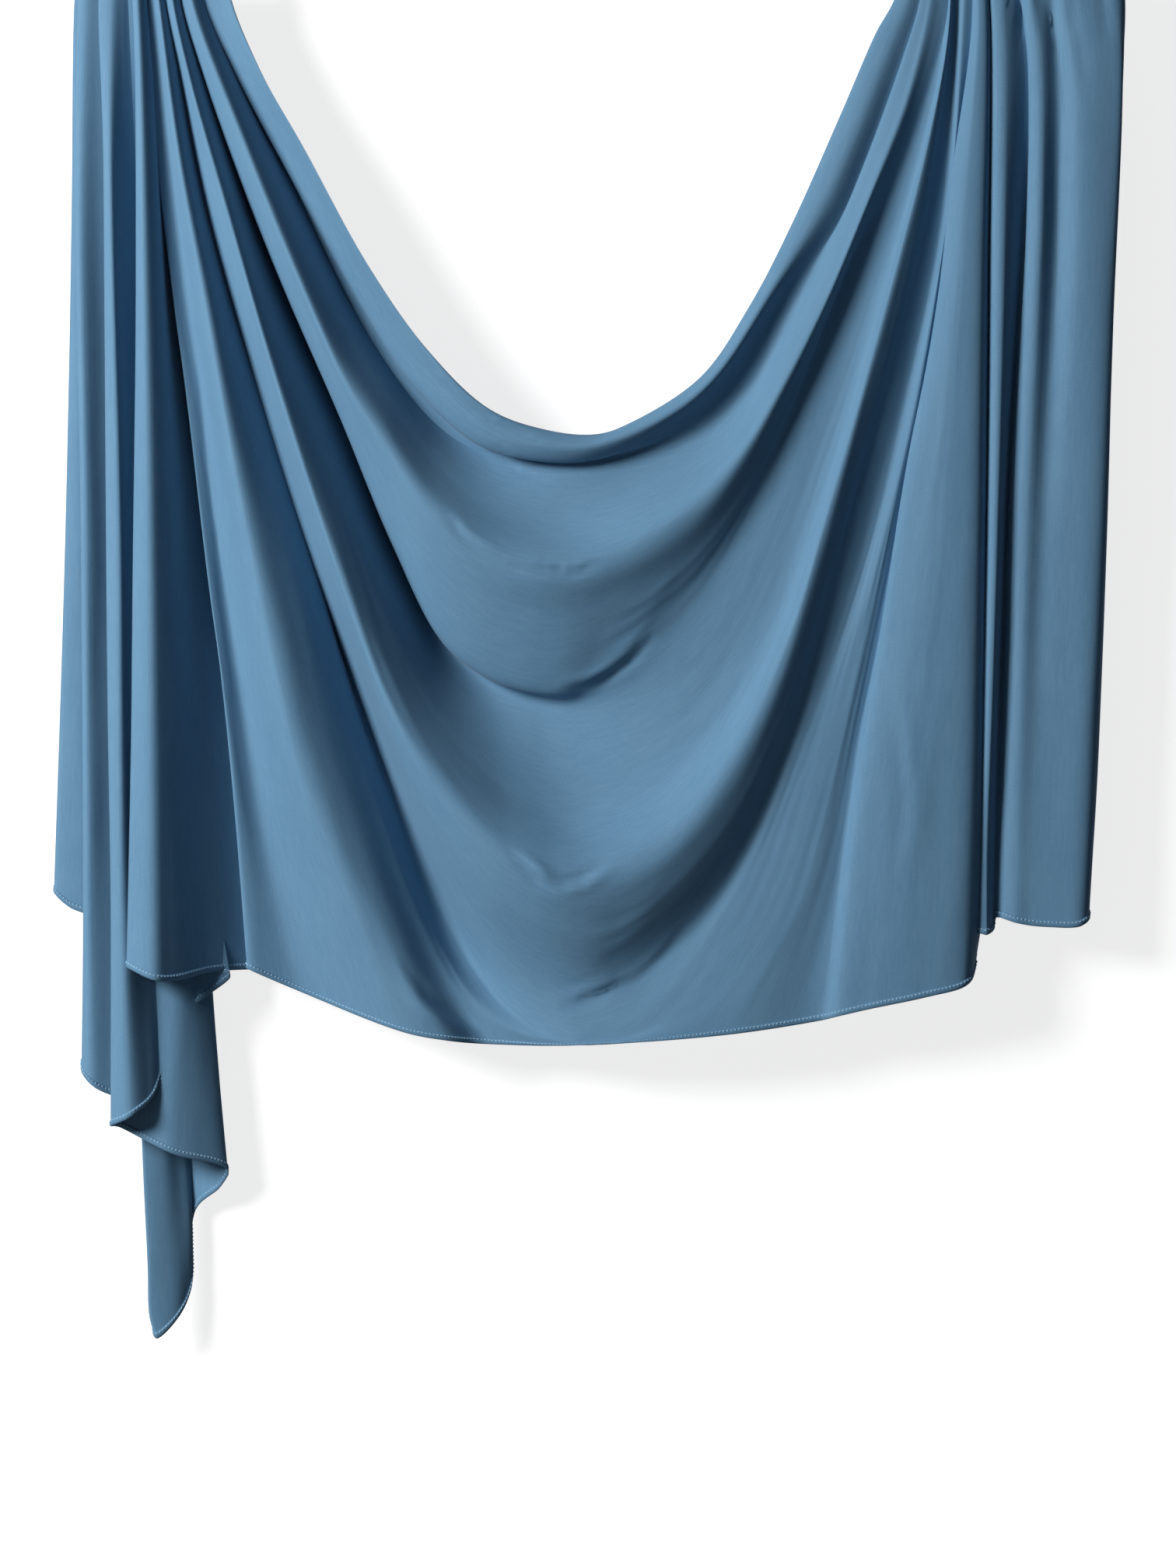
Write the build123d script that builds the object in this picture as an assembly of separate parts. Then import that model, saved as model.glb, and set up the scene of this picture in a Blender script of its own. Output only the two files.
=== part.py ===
"""Baby wrap sling: one long jersey cloth, hung gathered at two points with a cowl between them.

Millimetres. X runs from the left gather to the right one, +Y is the back, +Z is up.
The origin is the top centre of the left gather. The cloth is one piece in life: its nodes are the
zones that it hangs in, each a closed solid of the zone's outer shape, and they meet face to face.
"""
import os

from build123d import *

# gathers
gather_pitch = 550.0          # centre to centre of the two gathers
gather_height = 25.0          # pinched band at the top
left_gather_width = 101.0
right_gather_width = 147.0
gather_front = 26.0           # how far the pinched band stands forward of the origin
gather_back = 22.0            # and back
pleat_pitch = 9.0             # width of one pinched pleat
pleat_relief = 3.0            # depth of the groove beside it

# swags between the gathers, measured down the middle
cowl_drop = 307.0             # upper edge of the cowl, below the gathers' tops
roll_width = 19.0             # the rolled edge
upper_swag_width = 146.0
lower_swag_width = 192.0
hem_below_swag = 30.0         # from the last fold line to the front hem
flap_width = 48.0             # top edge of the cloth, turned to the back of the cowl
low_point = 279.0             # how far right of the left gather's centre the swags are lowest
swag_curl = 1.9               # 1 is a straight V, more is a rounder swag
swag_swell = 46.0             # how far the swags stand forward at mid-span
left_pleats = [19.0, 13.0, 11.0]      # pinched widths of roll, upper and lower swag, left gather
right_pleats = [15.0, 15.0, 8.0]      # the same at the right gather

# left fall, with drops from the gather's top
outer_shows = 4.5             # how much of each pleat shows left of the one in front, at the gather
middle_shows = 20.0
inner_shows = 13.0
outer_flare = 12.5            # the outer pleat's foot stands this far out from the gather
outer_drop = 615.0
middle_drop = 728.0
inner_drop = 746.0
inner_rise = 86.0             # the inner pleat's hem climbs this much towards the cascade
cascade_edge = 49.0           # right edge of the turned-back layer
cascade_top = 650.0           # where that edge comes out below the front panel
return_drop = 776.0
tail_drop = 885.5             # the cloth's lowest corner
tail_edge = 7.0               # left fold of the tail
tail_width = 34.0
tail_hem_climb = 109.0        # from the corner to where the hem passes behind the turned-back layer

# right fall
crease_in = 22.0              # crease, left of the right gather's centre
crease_foot_in = 62.0         # the same at the hem
crease_bow = 4.0              # how far it bows
tuck_in = 16.0                # tuck between the two panels
right_inner_drop = 655.0
right_outer_drop = 619.0
right_foot_out = 51.0         # right fold at the hem, right of the gather's centre

# cloth
layer = 9.0                   # one folded layer with the air in it
swag_depth = 24.0             # a swag, front to back
roll_setback = 7.0            # the rolled edge lies this far behind the front panel's face
swag_step = 2.0               # each swag stands this far forward of the one above
hem_width = 4.0
hem_curl = 8.0                # how far a pleat's hem lifts at its fold
stitch_inset = 3.0            # stitch row above the edge
stitch_width = 0.9
stitch_proud = 0.5

# the front hem's rise over its lowest point, by share of the way from the left fold to the crease
front_hem_rise = [(0.0, 72.0), (0.146, 74.0), (0.265, 36.0), (0.425, 3.0), (0.58, 0.0), (0.79, 12.0), (1.0, 27.0)]

margin = 90.0                 # room past the cloth for the blocks that cut it


def swag_side(top_x, drop):
    """Half of a fold line, from its gather down towards the lowest point."""
    points = []
    for t in (0.0, 0.1, 0.25, 0.45, 0.7):
        fall = (drop - gather_height) * (1 - (1 - t) ** swag_curl)
        points.append((top_x + (low_point - top_x) * t, -gather_height - fall))
    return points


def swag_line(left_x, right_x, drop):
    """A whole fold line, left gather to right gather."""
    return swag_side(left_x, drop) + [(low_point, -drop)] + swag_side(right_x, drop)[::-1]


def raised(points, height, lean=0.0):
    """The same run, higher, and further left by lean times as much."""
    return [(x - lean * height, z + height) for x, z in points]


def curve(points):
    """An edge in the front view, smooth where it has more than two points."""
    corners = [Vector(x, 0, z) for x, z in points]
    return Line(*corners) if len(corners) == 2 else Spline(*corners)


def outline(*runs):
    """A closed front-view face; a straight edge joins two runs that don't meet."""
    edges = [curve(run) for run in runs]
    for here, following in zip(runs, runs[1:] + runs[:1]):
        if (Vector(*here[-1]) - Vector(*following[0])).length > 0.001:
            edges.append(curve([here[-1], following[0]]))
    return Face(Wire(edges))


def slab(front, back):
    """All the room between two depths, over the whole height, swelling forward between the gathers."""
    edges = []
    for y in (front, back):
        swell = ThreePointArc((0, y), (gather_pitch / 2, y - swag_swell), (gather_pitch, y))
        edges.append([Line((-margin, y), (0, y)), swell, Line((gather_pitch, y), (gather_pitch + margin, y))])
    near, far = edges
    closers = [Line(near[0] @ 0, far[0] @ 0), Line(near[2] @ 1, far[2] @ 1)]
    plan = Face(Wire(near + far + closers)).moved(Location((0, 0, -tail_drop - margin)))
    return extrude(plan, tail_drop + 2 * margin, (0, 0, 1))


def zone(face, front, back):
    """A front-view face given its place in depth."""
    return extrude(face, swag_swell + margin, (0, 1, 0), both=True) & slab(front, back)


def hem_strip(edge, lean):
    return outline(raised(edge, hem_width, lean), edge[::-1])


def stitch_strip(edge, lean):
    low = raised(edge, stitch_inset - stitch_width / 2, lean)
    return outline(raised(low, stitch_width, lean), low[::-1])


def gather(centre, width):
    """A pinched band of upright pleats."""
    count = round(width / pleat_pitch)
    front, back = [], []
    for i in range(2 * count + 1):
        x = centre - width / 2 + i * width / count / 2
        groove = pleat_relief if i % 2 == 0 else 0.0
        front.append((x, groove - gather_front))
        back.append((x, gather_back - groove))
    near, far = Spline(*front), Spline(*back)
    plan = Face(Wire([near, Line(near @ 1, far @ 1), far, Line(far @ 0, near @ 0)]))
    return extrude(plan.moved(Location((0, 0, -gather_height))), gather_height, (0, 0, 1))


# places that follow from the sizes: down the middle
roll_drop = cowl_drop + roll_width
upper_swag_drop = roll_drop + upper_swag_width
lower_swag_drop = upper_swag_drop + lower_swag_width
front_drop = lower_swag_drop + hem_below_swag
top_z = -gather_height

# across the front
outer_edge = left_gather_width / 2 + outer_flare
middle_edge = left_gather_width / 2 - outer_shows
inner_edge = middle_edge - middle_shows
front_edge = inner_edge - inner_shows
left_in = left_gather_width / 2 + 1.0
left_roll, left_upper, left_lower = [left_in - sum(left_pleats[:n]) for n in (1, 2, 3)]
right_in = gather_pitch - right_gather_width / 2
right_roll, right_upper, right_lower = [right_in + sum(right_pleats[:n]) for n in (1, 2, 3)]
crease_top = gather_pitch - crease_in
crease_foot = gather_pitch - crease_foot_in
tuck_x = gather_pitch - tuck_in
right_fold_top = gather_pitch + right_gather_width / 2
right_fold_foot = gather_pitch + right_foot_out

# front to back, at the gathers
front_face = 2.0 - gather_front
front_rear = front_face + layer
inner_rear = front_rear + layer
middle_rear = inner_rear + layer
outer_rear = middle_rear + layer
roll_face = front_face + roll_setback
roll_rear = roll_face + swag_depth

# fold lines
cowl_line = swag_line(left_in, right_in, cowl_drop)
roll_line = swag_line(left_roll, right_roll, roll_drop)
upper_line = swag_line(left_upper, right_upper, upper_swag_drop)
lower_line = swag_line(left_lower, right_lower, lower_swag_drop)
flap_line = swag_line(left_in - flap_width / 8, right_in + flap_width / 8, cowl_drop + flap_width)

# the cloth's edges, left to right
front_hem = [(-front_edge + share * (crease_foot + front_edge), rise - front_drop)
             for share, rise in front_hem_rise]
right_inner_hem = [front_hem[-1], (tuck_x - (tuck_x - crease_foot) * 0.4, -right_inner_drop),
                   (tuck_x, -right_inner_drop)]
right_outer_hem = [(tuck_x, -right_outer_drop), (right_fold_foot - hem_curl, -right_outer_drop),
                   (right_fold_foot, hem_curl / 2 - right_outer_drop)]
outer_hem = [(-outer_edge, hem_curl - outer_drop), (-outer_edge + hem_curl, -outer_drop),
             (-middle_edge, -outer_drop)]
middle_hem = [(-middle_edge, hem_curl - middle_drop), (-middle_edge + hem_curl, -middle_drop),
              (-inner_edge, -middle_drop)]
inner_hem = [(-inner_edge, -inner_drop), (4.0, inner_rise * 0.28 - inner_drop),
             (16.0, inner_rise * 0.63 - inner_drop), (cascade_edge - 10.0, inner_rise - inner_drop)]
return_hem = [(-inner_edge, -inner_drop), (cascade_edge / 3, -inner_drop - (return_drop - inner_drop) * 0.6),
              (cascade_edge, -return_drop)]
tail_right = tail_width - tail_edge
tail_lean = 0.7               # this hem climbs steeply, so its width runs sideways too
tail_hem = [(tail_edge - 4.0, -tail_drop), (tail_right - 11.0, tail_hem_climb * 0.11 - tail_drop),
            (tail_right, tail_hem_climb * 0.49 - tail_drop), (tail_right, tail_hem_climb * 0.73 - tail_drop),
            (cascade_edge, tail_hem_climb - tail_drop)]

# the upright folds, top to bottom
front_fold = [(-front_edge, top_z), (-front_edge, front_hem[0][1] + hem_width)]
crease = [(crease_top, top_z), (crease_top - crease_foot_in / 3 - crease_bow, -front_drop * 0.43),
          (crease_foot, front_hem[-1][1] + hem_width)]
right_fold = [(right_fold_top, top_z), (right_fold_top - hem_curl, -right_outer_drop * 0.45),
              (right_fold_foot, right_outer_hem[-1][1] + hem_width)]
outer_fold = [(-left_gather_width / 2, top_z), (-outer_edge + hem_curl, -outer_drop * 0.6),
              (-outer_edge, outer_hem[0][1] + hem_width)]
middle_fold = [(-middle_edge, top_z), (-middle_edge, middle_hem[0][1] + hem_width)]
inner_fold = [(-inner_edge, top_z), (-inner_edge, inner_hem[0][1] + hem_width)]
tail_fold = [(-tail_edge, top_z), (-tail_edge, -return_drop), raised(tail_hem, hem_width, tail_lean)[0]]
cascade_fold = [(left_lower, top_z), (cascade_edge - 10.0, -cascade_top)]

parts = {}
parts["left_gather"] = gather(0, left_gather_width)
parts["right_gather"] = gather(gather_pitch, right_gather_width)

# swags
parts["cowl_roll"] = zone(outline(cowl_line, roll_line[::-1]), roll_face, roll_rear)
parts["top_back_flap"] = zone(outline(cowl_line, flap_line[::-1]), roll_rear, roll_rear + layer)
swag_rear = front_face + swag_depth
parts["upper_swag"] = zone(outline(roll_line, upper_line[::-1]), front_face + swag_step, swag_rear)
parts["lower_swag"] = zone(outline(upper_line, lower_line[::-1]), front_face - swag_step, swag_rear - swag_step)
parts["front_panel"] = zone(outline(lower_line, crease, raised(front_hem, hem_width)[::-1], front_fold[::-1]),
                            front_face, front_rear)

# right fall
inner_tuck = [(tuck_x, top_z), (tuck_x, hem_width - right_inner_drop)]
parts["right_inner_panel"] = zone(outline(crease, raised(right_inner_hem, hem_width), inner_tuck[::-1]),
                                  front_face, front_rear)
outer_tuck = [(tuck_x, top_z), (tuck_x, hem_width - right_outer_drop)]
parts["right_outer_panel"] = zone(outline(outer_tuck, raised(right_outer_hem, hem_width), right_fold[::-1]),
                                  front_face, front_rear)
back_edge = [(crease_top, top_z), (crease_top, right_fold[-1][1])]
parts["right_back_layer"] = zone(outline(back_edge, [back_edge[-1], right_fold[-1]], right_fold[::-1]),
                                 front_rear, inner_rear)

# left fall, from the front to the back
pleat_edge = raised(inner_hem, hem_width)
parts["left_inner_pleat"] = zone(outline(inner_fold, pleat_edge, [pleat_edge[-1], (left_lower, top_z)]),
                                 front_rear, inner_rear)
pleat_edge = raised(middle_hem, hem_width)
parts["left_middle_pleat"] = zone(outline(middle_fold, pleat_edge, [pleat_edge[-1], (-inner_edge, top_z)]),
                                  inner_rear, middle_rear)
pleat_edge = raised(outer_hem, hem_width)
parts["left_outer_pleat"] = zone(outline(outer_fold, pleat_edge, [pleat_edge[-1], (-middle_edge, top_z)]),
                                 middle_rear, outer_rear)
layer_edge = raised(return_hem, hem_width)
parts["left_return_layer"] = zone(outline(inner_fold, layer_edge, [layer_edge[-1], cascade_fold[-1]],
                                          cascade_fold[::-1]), inner_rear, middle_rear)
layer_edge = raised(tail_hem, hem_width, tail_lean)
parts["left_corner_tail"] = zone(outline(tail_fold, layer_edge, [layer_edge[-1], cascade_fold[-1]],
                                         cascade_fold[::-1]), middle_rear, outer_rear)

# hems and their stitch rows: edge, front, back, lean, and what hangs in front
hems = {"front": (front_hem, front_face, front_rear, 0.0, []),
        "right_inner": (right_inner_hem, front_face, front_rear, 0.0, []),
        "right_outer": (right_outer_hem, front_face, front_rear, 0.0, []),
        "left_outer": (outer_hem, middle_rear, outer_rear, 0.0, ["left_middle_pleat", "left_middle_hem"]),
        "left_middle": (middle_hem, inner_rear, middle_rear, 0.0, ["left_inner_pleat", "left_inner_hem"]),
        "left_inner": (inner_hem, front_rear, inner_rear, 0.0, []),
        "left_return": (return_hem, inner_rear, middle_rear, 0.0, ["left_inner_pleat", "left_inner_hem"]),
        "left_tail": (tail_hem, middle_rear, outer_rear, tail_lean, ["left_return_layer", "left_return_hem"])}
for name, (edge, front, back, lean, covers) in hems.items():
    parts[name + "_hem"] = zone(hem_strip(edge, lean), front, back)
for name, (edge, front, back, lean, covers) in hems.items():
    row = zone(stitch_strip(edge, lean), front - stitch_proud, front)
    for cover in covers:
        row = row - parts[cover]
    parts[name + "_stitches"] = row

os.makedirs("parts", exist_ok=True)
for name, solid in parts.items():
    export_step(solid, os.path.join("parts", name + ".step"))
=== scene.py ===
import bpy, math
import numpy as np
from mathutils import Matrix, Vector, noise


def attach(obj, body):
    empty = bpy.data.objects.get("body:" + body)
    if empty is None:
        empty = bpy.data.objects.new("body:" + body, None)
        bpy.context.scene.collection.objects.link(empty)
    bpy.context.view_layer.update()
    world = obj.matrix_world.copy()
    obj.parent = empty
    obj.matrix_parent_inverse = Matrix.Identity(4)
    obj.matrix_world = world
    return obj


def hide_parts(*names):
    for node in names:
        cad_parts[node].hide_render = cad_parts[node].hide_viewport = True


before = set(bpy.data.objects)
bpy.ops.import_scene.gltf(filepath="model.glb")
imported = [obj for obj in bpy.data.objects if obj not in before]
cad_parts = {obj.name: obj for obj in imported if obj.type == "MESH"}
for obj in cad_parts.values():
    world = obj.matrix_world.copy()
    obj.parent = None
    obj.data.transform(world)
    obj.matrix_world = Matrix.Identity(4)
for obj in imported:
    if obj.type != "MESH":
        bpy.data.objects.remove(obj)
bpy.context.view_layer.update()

print("stage: fold lines of the sheet")

# A fold line is a run of (x, z) in millimetres from the gather down to the hem.
# depth says how far behind the mean surface it lies, at even steps along it; forward is negative.
# Where a line's edge overhangs the tuck beside it, the fold leans over its neighbour.

leftFan = [
    {"name": "endEdge", "depth": (34, 36, 34),
     "run": [(-12, 0), (2, -150), (8, -350), (4, -540)]},
    {"name": "outerBack", "depth": (30, 33, 32),
     "run": [(-42, 0), (-47, -120), (-50, -350), (-58, -598)]},
    {"name": "outerFold", "depth": (26, 29, 29),
     "run": [(-46, 0), (-49, -25), (-52, -150), (-54, -250), (-57, -380), (-60, -480), (-64, -598)]},
    {"name": "outerFront", "depth": (22, 25, 26),
     "run": [(-42, 0), (-46, -120), (-48, -350), (-54, -608)]},
    {"name": "outerTuck", "depth": (24, 30, 30),
     "run": [(-26, 0), (-20, -150), (-14, -350), (-8, -500), (-2, -630)]},
    {"name": "middleBack", "depth": (20, 23, 24),
     "run": [(-40, 0), (-45, -150), (-43, -350), (-42, -702)]},
    {"name": "middleFold", "depth": (15, 17, 18),
     "run": [(-43, 0), (-46, -25), (-49, -150), (-48, -225), (-46, -325), (-44, -606), (-45, -712)]},
    {"name": "middleFront", "depth": (11, 12, 13),
     "run": [(-40, 0), (-45, -150), (-42, -350), (-40, -600), (-38, -722)]},
    {"name": "middleFace", "depth": (14, 20, 21, 19),
     "run": [(-32, 0), (-32, -150), (-28, -350), (-25, -600), (-22, -730)]},
    {"name": "middleTuck", "depth": (18, 30, 30),
     "run": [(-20, 0), (-10, -150), (-2, -350), (8, -550), (14, -736)]},
    {"name": "tailBack", "depth": (15, 20, 23),
     "run": [(-24, 0), (-18, -150), (-10, -400), (-3, -755), (2, -872)]},
    {"name": "tailFold", "depth": (11, 15, 19),
     "run": [(-27, 0), (-22, -150), (-14, -400), (-6, -755), (-2, -840), (-1, -872), (3, -885)]},
    {"name": "tailFace", "depth": (10, 14, 23),
     "run": [(-20, 0), (-14, -150), (-4, -400), (6, -755), (11, -830), (14, -876)]},
    {"name": "tailSide", "depth": (12, 20, 32),
     "run": [(-14, 0), (-6, -150), (6, -400), (18, -755), (24, -820), (24, -856)]},
    {"name": "tailTuck", "depth": (12, 21, 36),
     "run": [(-10, 0), (0, -150), (14, -400), (24, -700), (27, -804)]},
    {"name": "returnBack", "depth": (6, 20, 28, 29, 28),
     "run": [(-6, 0), (4, -150), (18, -400), (36, -660), (44, -788)]},
    {"name": "returnFold", "depth": (3, 20, 28, 27, 24),
     "run": [(-4, 0), (6, -150), (20, -350), (33, -550), (39, -662), (43, -712), (49, -777)]},
    {"name": "returnFace", "depth": (0, 18, 24, 12, 4),
     "run": [(-8, 0), (2, -150), (14, -350), (22, -560), (15, -765)]},
    {"name": "innerBack", "depth": (0, 3, 5),
     "run": [(-26, 0), (-26, -150), (-22, -400), (-20, -748)]},
    {"name": "innerFold", "depth": (-4, -4, -4),
     "run": [(-30, 0), (-32, -25), (-29, -120), (-28, -225), (-26, -475), (-24, -600), (-24, -747)]},
    {"name": "innerFront", "depth": (-9, -11, -11, -12, -12),
     "run": [(-23, 0), (-24, -120), (-18, -350), (-16, -600), (-11, -741)]},
    {"name": "innerFace", "depth": (-4, 2, 6, 4, -2),
     "run": [(-17, 0), (-16, -150), (-10, -400), (-2, -640), (2, -730)]},
    {"name": "innerSide", "depth": (0, 10, 16, 14, 6),
     "run": [(-14, 0), (-10, -150), (-2, -400), (6, -600), (8, -712)]},
    {"name": "innerWall", "depth": (2, 16, 22, 20, 12),
     "run": [(-11, 0), (-4, -150), (6, -380), (18, -580), (21, -678)]},
    {"name": "innerTuck", "depth": (2, 22, 28, 27, 20),
     "run": [(-8, 0), (2, -150), (14, -350), (34, -550), (51, -652)]},
    {"name": "frontUnder", "depth": (-6, 10, 18, 19, 14),
     "run": [(-9, 0), (-3, -150), (2, -350), (12, -550), (20, -655)]},
    {"name": "frontBack", "depth": (-11, -10, -9),
     "run": [(-7, 0), (-5, -75), (-3, -300), (-7, -648)]},
    {"name": "frontFold", "depth": (-14, -14, -13),
     "run": [(-11, 0), (-10, -25), (-8, -75), (-7, -225), (-9, -400), (-10, -500), (-13, -645)]},
    {"name": "frontCrest", "depth": (-19, -22, -22),
     "run": [(-8, 0), (-4, -75), (0, -225), (3, -400), (5, -653)]},
    {"name": "frontSide", "depth": (-11, -12, -14, -14, -13),
     "run": [(-5, 0), (1, -75), (8, -225), (12, -400), (16, -654)]},
    {"name": "frontSlope", "depth": (-2, 4, 7, 10, 14),
     "run": [(-4, 0), (4, -75), (14, -225), (22, -320), (30, -450), (40, -649)]},
    {"name": "frontTuck", "depth": (6, 17, 22, 27, 33),
     "run": [(1, 0), (10, -75), (22, -225), (34, -320), (48, -450), (58, -560), (66, -648)]},
    {"name": "panelEdge", "depth": (-2, -4, 1, 7, 17),
     "run": [(-2, 0), (5, -125), (16, -220), (24, -280), (38, -400), (46, -460), (54, -540), (62, -647)]},
    {"name": "panelDip", "depth": (-4, -3, 4, 14, 24),
     "run": [(0, 0), (12, -125), (24, -220), (36, -290), (49, -400), (64, -500), (76, -570), (98, -663)]},
    {"name": "panelCrest", "depth": (-12, -17, -19, -13, 2),
     "run": [(3, 0), (20, -125), (38, -220), (54, -310), (76, -420), (99, -520), (122, -580),
             (146, -640), (164, -687)]},
    {"name": "panelSlope", "depth": (-2, -4, -5, -3, 4),
     "run": [(6, 0), (26, -125), (45, -210), (67, -305), (94, -410), (113, -495), (138, -575),
             (165, -642), (190, -692)]},
    {"name": "panelTuck", "depth": (8, 17, 18, 17, 20),
     "run": [(9, 0), (31, -125), (52, -200), (81, -300), (108, -400), (130, -490), (154, -568),
             (182, -640), (214, -695)]},
    {"name": "hemMiddle", "depth": (7, 12, 18, 22, 26, 32, 36, 34, 3),
     "run": [(8, 0), (28, -125), (54, -230), (85, -340), (120, -440), (157, -540), (204, -642),
             (242, -684), (276, -695)]},
]

# A swag's line runs from the left gather through its lowest point to the right gather. One with
# shares in place of a run lies between the line before it and the line after it.
swags = [
    {"name": "lowerEdge", "low": (276, -664), "depth": (2, 0, 5, 14, 6, 6, 6, 5, 4),
     "leftRun": [(9, 0), (9, -25), (20, -75), (40, -170), (71, -275), (103, -375), (140, -475),
                 (178, -570), (226, -637)],
     "rightRun": [(302, -656), (327, -638), (370, -588), (402, -520), (432, -425), (457, -330),
                  (477, -260), (498, -165), (510, -75), (514, -25), (514, 0)]},
    {"name": "lowerBulge",
     "depth": (-6, -8, -10, -11, -12, -11, -10, -11, -12, -11, -8, -6, -5, -5, -5, -4, -3),
     "share": (0.7, 0.7, 0.7, 0.65, 0.6, 0.5, 0.5, 0.5, 0.5)},
    {"name": "lowerCrest", "low": (277, -590),
     "depth": (-8, -10, -13, -15, -16, -16, -16, -17, -18, -16, -14, -13, -12, -11, -10, -8, -6),
     "leftRun": [(14, 0), (15, -25), (27, -80), (53, -170), (84, -275), (117, -375), (154, -475),
                 (184, -525), (233, -575)],
     "rightRun": [(326, -571), (367, -523), (404, -450), (438, -340), (470, -225), (496, -125),
                  (509, -60), (512, -25), (512, 0)]},
    {"name": "middleSlope", "depth": (-2, -1, 0, 2, 0, -1, -1, 0, 6, 4, 1, 0, 0, 0, -1, -3, -4),
     "share": (0.5, 0.48, 0.46, 0.46, 0.42, 0.36, 0.3, 0.3, 0.3)},
    {"name": "swagFold", "low": (268, -477),
     "depth": (8, 12, 17, 22, 28, 31, 30, 25, 17, 9, 5, 5, 6, 6, 4, 2, -1),
     "leftRun": [(22, 0), (22, -25), (39, -80), (65, -150), (90, -209), (127, -294), (158, -373),
                 (187, -436), (219, -464), (246, -473)],
     "rightRun": [(300, -471), (330, -457), (358, -433), (378, -403), (399, -360), (419, -312),
                  (440, -260), (460, -206), (480, -155), (504, -75), (511, -25), (511, 0)]},
    {"name": "upperEdge", "low": (262, -470), "depth": (2, 2, 4, 11, 8, 5, 5, 4, 2),
     "leftRun": [(20, 0), (20, -25), (36, -80), (61, -150), (85, -210), (122, -295), (155, -375),
                 (188, -438), (220, -462)],
     "rightRun": [(290, -458), (317, -442), (345, -416), (367, -386), (388, -348), (408, -303),
                  (428, -250), (452, -190), (474, -149), (502, -72), (512, -25), (512, 0)]},
    {"name": "upperBulge", "depth": (-6, -10, -10, -8, -6, -4, -3, -3, -2),
     "share": (0.65, 0.65, 0.65, 0.65, 0.6, 0.5, 0.5, 0.5, 0.5)},
    {"name": "upperCrest", "low": (268, -392), "depth": (-8, -12, -14, -14, -14, -14, -13, -11, -7),
     "leftRun": [(27, 0), (27, -25), (64, -125), (105, -225), (127, -272), (150, -307), (184, -356),
                 (224, -384)],
     "rightRun": [(302, -384), (352, -351), (382, -315), (405, -275), (432, -222), (462, -150),
                  (485, -90), (500, -25), (500, 0)]},
    {"name": "rollSlope", "depth": (-3, -3, -2, -1, 0, 0, 0, 0, 1, -4, -6, -7, -8, -8, -8, -7, -6),
     "share": (0.5, 0.48, 0.46, 0.45, 0.42, 0.36, 0.35, 0.35, 0.35)},
    {"name": "rollTuck", "low": (262, -319),
     "depth": (6, 9, 13, 17, 22, 26, 27, 17, 4, 5, 8, 8, 6, 3, 0, -2, -3),
     "leftRun": [(36, 0), (36, -25), (58, -77), (98, -150), (136, -218), (172, -270), (213, -308)],
     "rightRun": [(303, -318), (352, -302), (382, -275), (409, -228), (439, -174), (452, -145),
                  (479, -73), (493, -25), (493, 0)]},
    {"name": "rollEdge", "low": (262, -325), "depth": (4, 7, 8, 5, -1, 3, 6, 5, 3),
     "leftRun": [(33, 0), (33, -25), (55, -75), (95, -150), (133, -220), (170, -276), (212, -314)],
     "rightRun": [(300, -319), (342, -298), (368, -274), (399, -228), (441, -170), (455, -139),
                  (481, -69), (494, -25), (494, 0)]},
    {"name": "rollFace", "depth": (-1, -3, -4, -5, -9, -8, -6, -6, -4),
     "share": (0.6, 0.6, 0.6, 0.55, 0.5, 0.5, 0.5, 0.5, 0.5)},
    {"name": "cowlEdge", "low": (285, -307), "depth": (-5, -11, -12, -10, -2, 3, 4, 4, 3),
     "leftRun": [(51, 0), (52, -25), (72, -75), (100, -125), (141, -200), (178, -253), (217, -291),
                 (252, -304)],
     "rightRun": [(306, -300), (352, -270), (383, -225), (409, -175), (442, -101), (464, -50),
                  (477, -25), (478, 0)]},
    {"name": "rollBack", "low": (281, -309), "depth": (2, -3, -2, 2, 6, 9, 10, 9, 6),
     "leftRun": [(50, 0), (51, -25), (71, -78), (98, -130), (139, -206), (175, -259), (214, -295),
                 (250, -307)],
     "rightRun": [(310, -303), (355, -275), (386, -230), (412, -180), (445, -104), (466, -52),
                  (478, -25), (479, 0)]},
    {"name": "topEdge", "low": (276, -350), "depth": (12, 20, 24, 20, 12),
     "leftRun": [(46, 0), (47, -25), (64, -85), (88, -145), (124, -230), (160, -290), (205, -332),
                 (240, -346)],
     "rightRun": [(312, -346), (362, -315), (396, -262), (422, -205), (452, -122), (471, -62),
                  (482, -25), (482, 0)]},
]

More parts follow.
